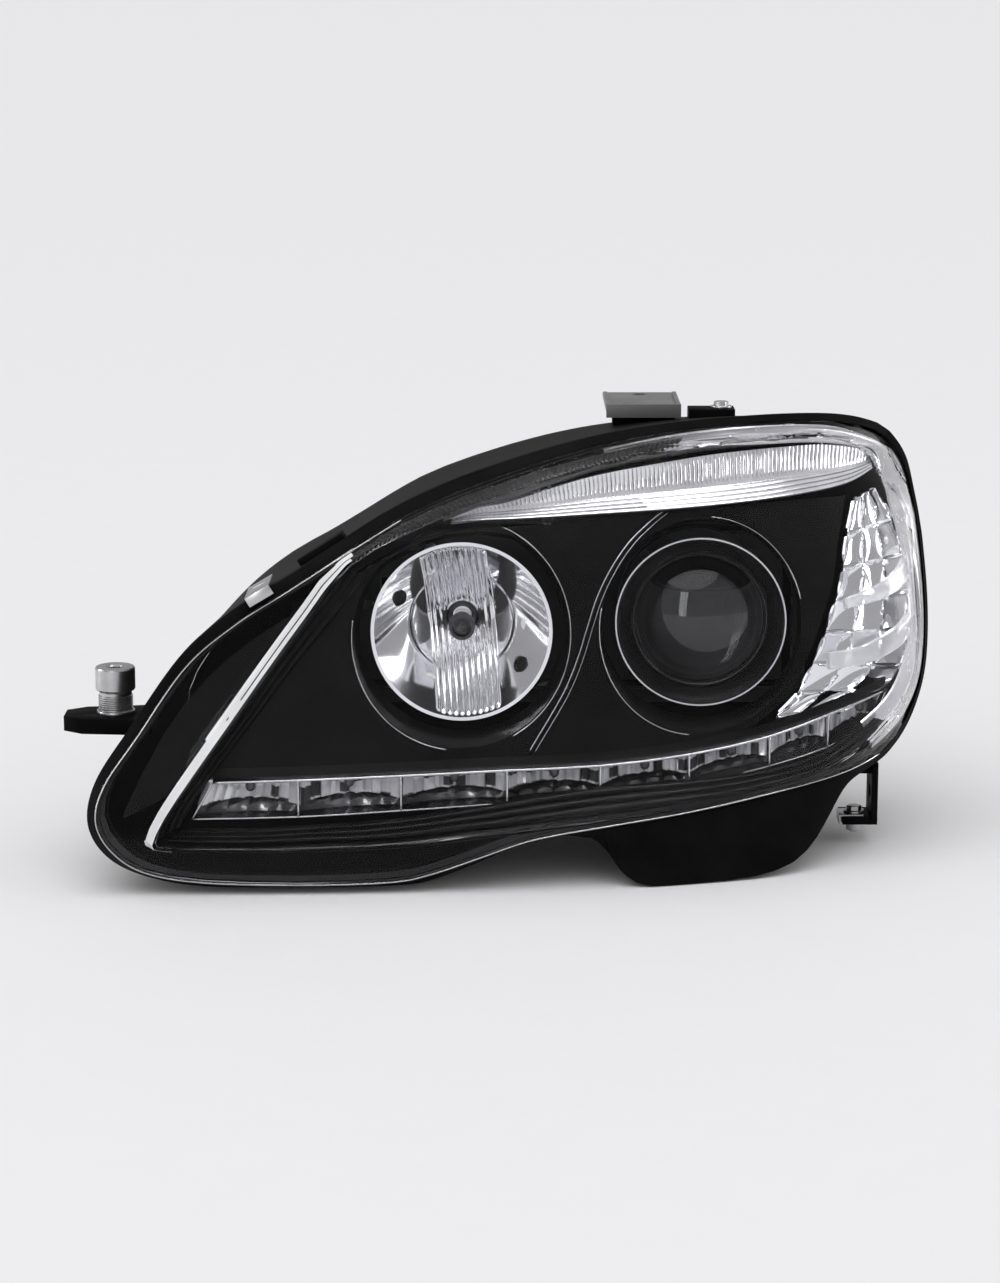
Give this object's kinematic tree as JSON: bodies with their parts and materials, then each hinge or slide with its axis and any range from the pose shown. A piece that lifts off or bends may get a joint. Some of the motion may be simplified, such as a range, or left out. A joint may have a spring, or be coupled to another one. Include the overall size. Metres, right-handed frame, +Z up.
{
  "type": "car headlight assembly",
  "caption": "Swept-back car headlight with clear wrap-round cover, black bezel, chrome high-beam bowl, projector lens, indicator band and a row of daytime-light chambers.",
  "frame": {"origin": "centre of the bounding box in plan, on the plane the lamp stands on", "axes": "+Z up, +X to the outboard end that wraps round the wing, front of the lamp faces -Y"},
  "size_m": [0.5082, 0.2998, 0.254],
  "materials": {
    "black_housing": "satin",
    "clear_cover": "gloss",
    "black_rubber": "matt",
    "bezel_black": "satin",
    "trim_grey": "satin",
    "reflector_chrome": "mirror",
    "light_guide": "gloss",
    "led_dome": "gloss",
    "circuit_board": "satin",
    "black_moulding": "satin",
    "zinc_steel": "satin",
    "contact_brass": "satin",
    "white_nylon": "satin",
    "grey_bracket": "satin",
    "frame_black": "satin",
    "bulb_glass": "gloss",
    "bulb_metal": "satin",
    "spring_wire": "satin",
    "shroud_black": "satin",
    "bright_ring": "bright",
    "lens_glass": "gloss",
    "cast_alloy": "cast",
    "shade_steel": "dark",
    "red_rubber": "matt",
    "holder_grey": "satin",
    "amber_glass": "gloss"
  },
  "bodies": {
    "housing": {"housing": "black_housing", "housing_back": "black_housing", "inboard_ear": "black_housing", "housing_pads": "black_housing", "cover_lens": "clear_cover", "seal_bead": "black_rubber", "bezel_inboard": "bezel_black", "bezel_outboard": "bezel_black", "upper_trim": "trim_grey", "indicator_reflector": "reflector_chrome", "side_reflector": "reflector_chrome", "upper_light_guide": "light_guide", "lower_light_guide": "light_guide", "drl_reflector": "reflector_chrome", "drl_leds": "led_dome", "drl_board": "circuit_board", "levelling_motor": "black_moulding", "motor_screws": "zinc_steel", "main_connector": "black_moulding", "connector_pins": "contact_brass", "breather_caps": "black_rubber", "adjuster_bushes": "white_nylon", "top_bracket": "grey_bracket", "bracket_bolts": "zinc_steel", "lower_bracket": "black_housing", "spring_nut": "zinc_steel", "rim_clip": "zinc_steel", "yoke_pins": "zinc_steel"},
    "sleeve_washer": {"sleeve_washer": "zinc_steel"},
    "mount_sleeve": {"mount_sleeve": "zinc_steel"},
    "tilt_yoke": {"tilt_yoke": "frame_black", "ball_socket": "white_nylon", "tilt_nut": "white_nylon"},
    "beam_carrier": {"beam_carrier": "frame_black", "aim_pins": "zinc_steel", "aim_nut": "white_nylon", "high_reflector": "reflector_chrome", "high_bulb_glass": "bulb_glass", "high_bulb_base": "bulb_metal", "projector_shroud": "shroud_black", "lens_retainer": "bright_ring", "projector_lens": "lens_glass", "projector_barrel": "cast_alloy", "projector_shade": "shade_steel", "projector_reflector": "reflector_chrome", "low_bulb_glass": "bulb_glass", "low_bulb_base": "bulb_metal", "carrier_screws": "zinc_steel"},
    "high_bulb_clip": {"high_bulb_clip": "spring_wire"},
    "low_bulb_clip": {"low_bulb_clip": "spring_wire"},
    "motor_plunger": {"motor_plunger": "white_nylon"},
    "vertical_adjuster": {"vertical_adjuster": "zinc_steel"},
    "horizontal_adjuster": {"horizontal_adjuster": "zinc_steel"},
    "low_cap_seal": {"low_cap_seal": "black_rubber"},
    "low_cap": {"low_cap": "black_moulding"},
    "high_cap_seal": {"high_cap_seal": "black_rubber"},
    "high_cap": {"high_cap": "black_moulding"},
    "indicator_gasket": {"indicator_gasket": "red_rubber"},
    "indicator_holder": {"indicator_holder": "holder_grey", "indicator_bulb": "amber_glass"}
  },
  "joints": [
    {"name": "beam_tilt", "type": "hinge", "parent": "housing", "child": "tilt_yoke", "pos_m": [0, 0, 0.141], "axis": [1, 0, 0], "range_deg": [-2.5, 2.5]},
    {"name": "beam_aim", "type": "hinge", "parent": "tilt_yoke", "child": "beam_carrier", "pos_m": [0.045, 0, 0.141], "axis": [0, 0, 1], "range_deg": [-1.5, 1.5]},
    {"name": "plunger_slide", "type": "slide", "parent": "housing", "child": "motor_plunger", "axis": [0, 1, 0], "range_m": [-0.0026, 0.0026]},
    {"name": "vertical_adjuster_turn", "type": "hinge", "parent": "housing", "child": "vertical_adjuster", "pos_m": [0.026, 0, 0.1925], "axis": [0, 1, 0], "range_deg": [-204, 204]},
    {"name": "horizontal_adjuster_turn", "type": "hinge", "parent": "housing", "child": "horizontal_adjuster", "pos_m": [-0.081, 0, 0.141], "axis": [0, 1, 0], "range_deg": [-298, 298]},
    {"name": "high_bulb_clip_swing", "type": "hinge", "parent": "beam_carrier", "child": "high_bulb_clip", "pos_m": [-0.024, -0.0319, 0.156], "axis": [1, 0, 0], "range_deg": [0, 95]},
    {"name": "low_bulb_clip_swing", "type": "hinge", "parent": "beam_carrier", "child": "low_bulb_clip", "pos_m": [0.114, 0.049, 0.159], "axis": [1, 0, 0], "range_deg": [0, 95]},
    {"name": "low_cap_pull", "type": "slide", "parent": "housing", "child": "low_cap_seal", "axis": [0, 1, 0], "range_m": [0, 0.06]},
    {"name": "low_cap_twist", "type": "hinge", "parent": "low_cap_seal", "child": "low_cap", "pos_m": [0.114, 0, 0.141], "axis": [0, 1, 0], "range_deg": [0, 45]},
    {"name": "high_cap_pull", "type": "slide", "parent": "housing", "child": "high_cap_seal", "axis": [0, 1, 0], "range_m": [0, 0.06]},
    {"name": "high_cap_twist", "type": "hinge", "parent": "high_cap_seal", "child": "high_cap", "pos_m": [-0.024, 0, 0.14], "axis": [0, 1, 0], "range_deg": [0, 45]},
    {"name": "indicator_pull", "type": "slide", "parent": "housing", "child": "indicator_gasket", "axis": [0, 1, 0], "range_m": [0, 0.06]},
    {"name": "indicator_twist", "type": "hinge", "parent": "indicator_gasket", "child": "indicator_holder", "pos_m": [0.092, 0, 0.2135], "axis": [0, 1, 0], "range_deg": [0, 60]},
    {"name": "sleeve_lift", "type": "slide", "parent": "housing", "child": "sleeve_washer", "axis": [0, 0, 1], "range_m": [0, 0.0059]},
    {"name": "sleeve_turn", "type": "hinge", "parent": "sleeve_washer", "child": "mount_sleeve", "pos_m": [-0.2245, -0.07, 0.1], "axis": [0, 0, 1], "range_deg": [0, 1430]}
  ],
  "couplings": [
    {"joint": "plunger_slide", "follows": "beam_tilt", "m_per_rad": 0.057},
    {"joint": "vertical_adjuster_turn", "follows": "beam_tilt", "ratio": 80.896},
    {"joint": "horizontal_adjuster_turn", "follows": "beam_aim", "ratio": 197.92},
    {"joint": "sleeve_turn", "follows": "sleeve_lift", "rad_per_m": 4188.8}
  ]
}
